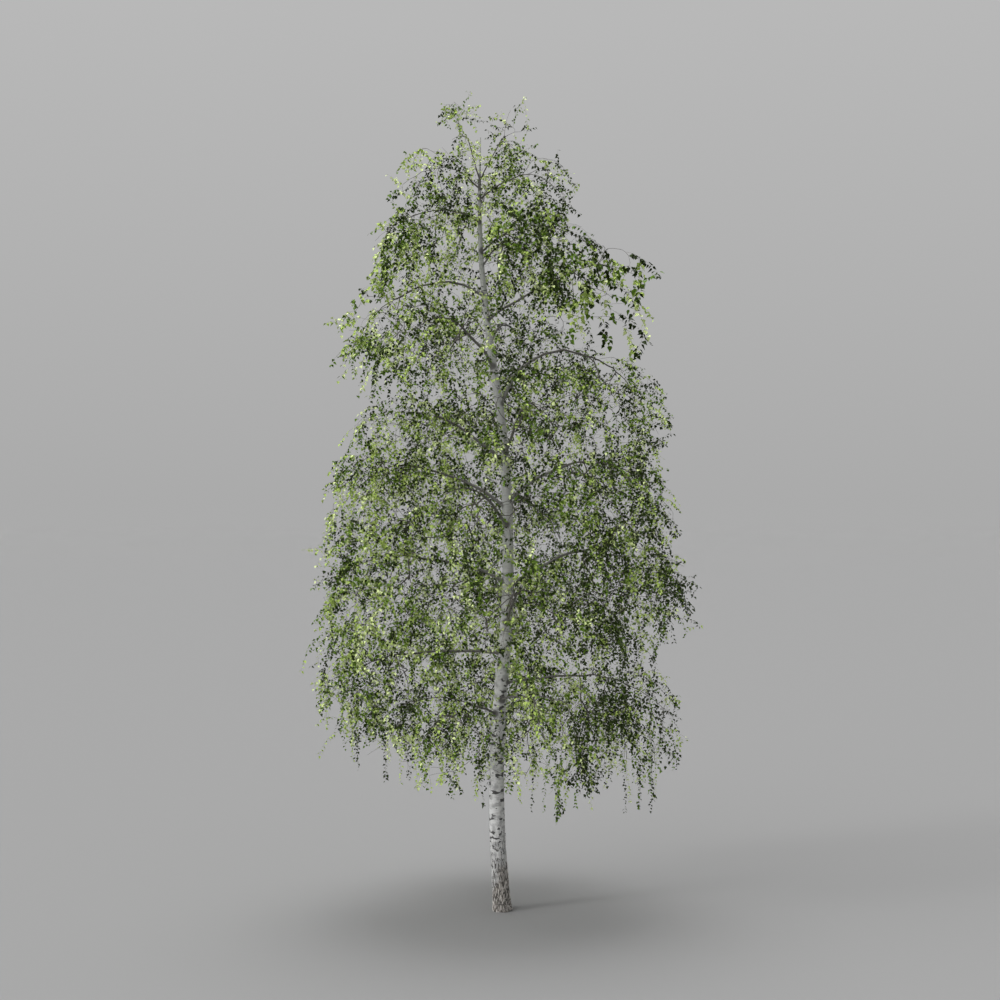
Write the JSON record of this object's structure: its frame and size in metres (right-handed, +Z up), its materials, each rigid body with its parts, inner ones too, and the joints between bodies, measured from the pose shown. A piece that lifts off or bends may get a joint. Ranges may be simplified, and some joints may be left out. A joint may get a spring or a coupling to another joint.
{
  "type": "silver birch tree",
  "caption": "Whole broadleaf tree: slender white trunk, rising boughs and weeping masses of small leaves, cut flat at ground level to stand rooted in level ground.",
  "frame": {"origin": "middle of the flat cut under the trunk, at ground level", "axes": "+Z up the trunk, +X to the tree's right, +Y to its back"},
  "size_m": [5.6274, 5.693, 11.9844],
  "materials": {
    "trunk_bark": "papery white bark with black fissures, rough grey-brown at the foot",
    "bough_bark": "smooth dark grey-brown bark",
    "twig_bark": "thin dark brown twigs",
    "foliage": "small satin leaves, summer green",
    "leaf_deep": "satin leaf, deep green",
    "leaf_mid": "satin leaf, mid green",
    "leaf_fresh": "satin leaf, fresh yellow green"
  },
  "bodies": {
    "root": {"trunk": "trunk_bark", "bough_tip_left": "bough_bark", "foliage_tip_left": "foliage", "bough_tip_right": "bough_bark", "foliage_tip_right": "foliage", "bough_top_left": "bough_bark", "foliage_top_left": "foliage", "bough_top_right": "bough_bark", "foliage_top_right": "foliage", "bough_top_back": "bough_bark", "foliage_top_back": "foliage", "bough_crown_left": "bough_bark", "foliage_crown_left": "foliage", "bough_shoulder_right": "bough_bark", "foliage_shoulder_right": "foliage", "bough_crown_right": "bough_bark", "foliage_crown_right": "foliage", "bough_crown_back": "bough_bark", "foliage_crown_back": "foliage", "bough_shoulder_left": "bough_bark", "foliage_shoulder_left": "foliage", "bough_shoulder_front": "bough_bark", "foliage_shoulder_front": "foliage", "bough_shoulder_back": "bough_bark", "foliage_shoulder_back": "foliage", "bough_spread_left": "bough_bark", "foliage_spread_left": "foliage", "bough_arm_left": "bough_bark", "foliage_arm_left": "foliage", "bough_arm_right": "bough_bark", "foliage_arm_right": "foliage", "bough_arm_front": "bough_bark", "foliage_arm_front": "foliage", "bough_arm_back": "bough_bark", "foliage_arm_back": "foliage", "bough_spread_right": "bough_bark", "foliage_spread_right": "foliage", "bough_spread_front": "bough_bark", "foliage_spread_front": "foliage", "bough_spread_back": "bough_bark", "foliage_spread_back": "foliage", "bough_broad_left": "bough_bark", "foliage_broad_left": "foliage", "bough_broad_right": "bough_bark", "foliage_broad_right": "foliage", "bough_broad_front": "bough_bark", "foliage_broad_front": "foliage", "bough_broad_back": "bough_bark", "foliage_broad_back": "foliage", "bough_skirt_left": "bough_bark", "foliage_skirt_left": "foliage", "bough_skirt_right": "bough_bark", "foliage_skirt_right": "foliage", "bough_skirt_front_left": "bough_bark", "foliage_skirt_front_left": "foliage", "bough_skirt_front_right": "bough_bark", "foliage_skirt_front_right": "foliage", "bough_skirt_back": "bough_bark", "foliage_skirt_back": "foliage"}
  },
  "joints": []
}
